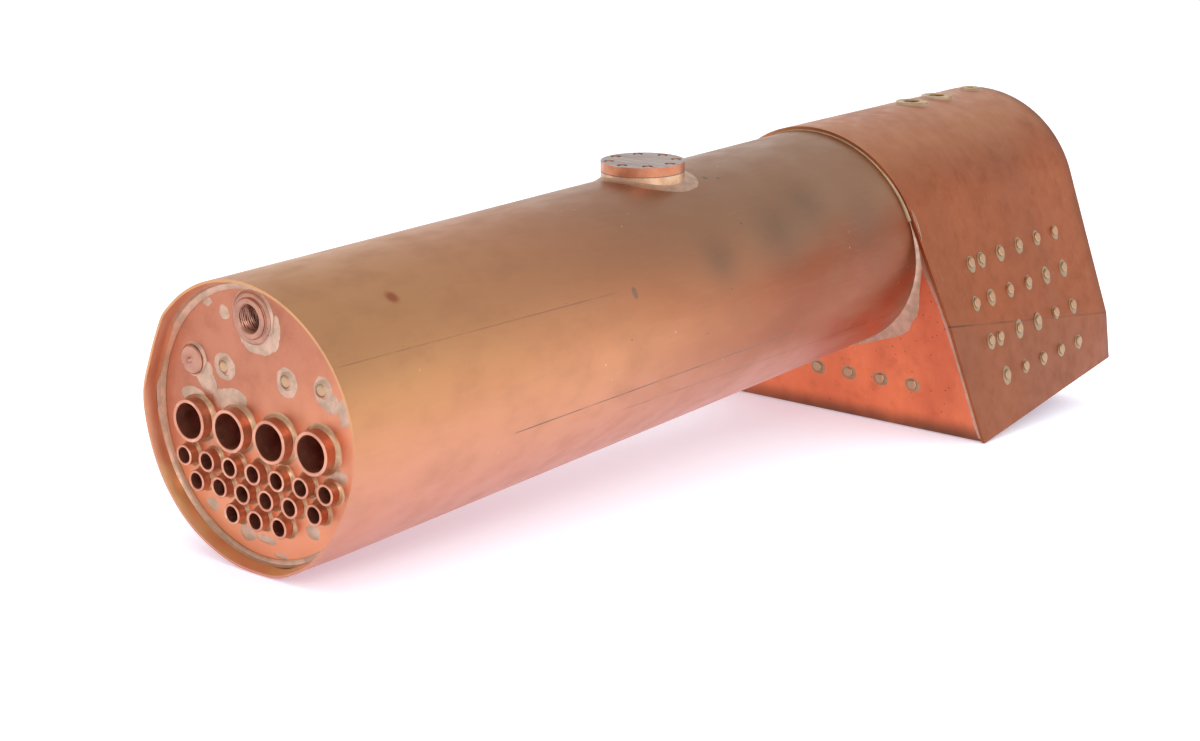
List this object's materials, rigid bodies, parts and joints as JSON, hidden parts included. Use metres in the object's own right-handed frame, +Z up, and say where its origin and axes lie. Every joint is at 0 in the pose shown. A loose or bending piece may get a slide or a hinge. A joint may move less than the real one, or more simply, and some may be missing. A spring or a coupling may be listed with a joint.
{
  "type": "live steam model boiler",
  "caption": "Silver-soldered copper boiler for a live-steam model locomotive: parallel barrel, steam dome and wide round-topped firebox with stayed sides.",
  "frame": {"origin": "centre of the open front rim of the barrel, on the barrel axis", "axes": "+X forward along the barrel axis, out of the smokebox end; +Y to the left of the boiler; +Z up, with the barrel axis level as it is mounted"},
  "size_m": [0.6306, 0.202, 0.179],
  "materials": {
    "barrel_copper": "dull drawn copper with a tan-brown patina",
    "wrapper_copper": "orange-brown sheet copper, satin",
    "throatplate_copper": "bright heat-reddened copper with pits",
    "tubeplate_copper": "pickled salmon-pink copper",
    "plate_copper": "satin copper plate",
    "tube_copper": "drawn copper tube, oxidised inside",
    "cover_copper": "turned copper alloy",
    "stay_bronze": "phosphor bronze rod under a film of silver solder",
    "gunmetal": "turned gunmetal with tool marks",
    "screw_steel": "machined steel",
    "gasket_sheet": "dark jointing sheet"
  },
  "bodies": {
    "boiler_shell": {"backhead": "plate_copper", "backhead_stays": "stay_bronze", "barrel": "barrel_copper", "blowdown_bush": "gunmetal", "blower_stay": "stay_bronze", "blower_stay_blank": "stay_bronze", "blower_valve_bush": "gunmetal", "crown_girder_left": "plate_copper", "crown_girder_middle": "plate_copper", "crown_girder_right": "plate_copper", "dome_gasket": "gasket_sheet", "dome_ring": "gunmetal", "feed_bush_left": "gunmetal", "feed_bush_right": "gunmetal", "fire_tube_lower_1": "tube_copper", "fire_tube_lower_2": "tube_copper", "fire_tube_lower_3": "tube_copper", "fire_tube_middle_1": "tube_copper", "fire_tube_middle_2": "tube_copper", "fire_tube_middle_3": "tube_copper", "fire_tube_middle_4": "tube_copper", "fire_tube_middle_5": "tube_copper", "fire_tube_middle_6": "tube_copper", "fire_tube_upper_1": "tube_copper", "fire_tube_upper_2": "tube_copper", "fire_tube_upper_3": "tube_copper", "fire_tube_upper_4": "tube_copper", "fire_tube_upper_5": "tube_copper", "fire_tube_upper_6": "tube_copper", "fire_tube_upper_7": "tube_copper", "firebox_doorplate": "plate_copper", "firebox_tubeplate": "plate_copper", "firebox_wrapper": "plate_copper", "firehole_ring": "gunmetal", "flue_1": "tube_copper", "flue_2": "tube_copper", "flue_3": "tube_copper", "flue_4": "tube_copper", "foundation_bar_front": "plate_copper", "foundation_bar_left": "plate_copper", "foundation_bar_rear": "plate_copper", "foundation_bar_right": "plate_copper", "front_tubeplate": "tubeplate_copper", "gauge_bush_bottom": "gunmetal", "gauge_bush_top": "gunmetal", "longitudinal_stay_left": "stay_bronze", "longitudinal_stay_outer_left": "stay_bronze", "longitudinal_stay_right": "stay_bronze", "outer_wrapper": "wrapper_copper", "regulator_bush": "gunmetal", "safety_valve_bush_front": "gunmetal", "safety_valve_bush_rear": "gunmetal", "side_stays_left": "stay_bronze", "side_stays_right": "stay_bronze", "steam_outlet_bush": "gunmetal", "throat_stays": "stay_bronze", "throatplate": "throatplate_copper", "turret_bush": "gunmetal"},
    "dome_lid": {"dome_cover": "cover_copper", "dome_screws": "screw_steel"}
  },
  "joints": [
    {"name": "dome_cover_lift", "type": "slide", "parent": "boiler_shell", "child": "dome_lid", "axis": [0, 0, 1], "range_m": [0, 0.06]}
  ]
}
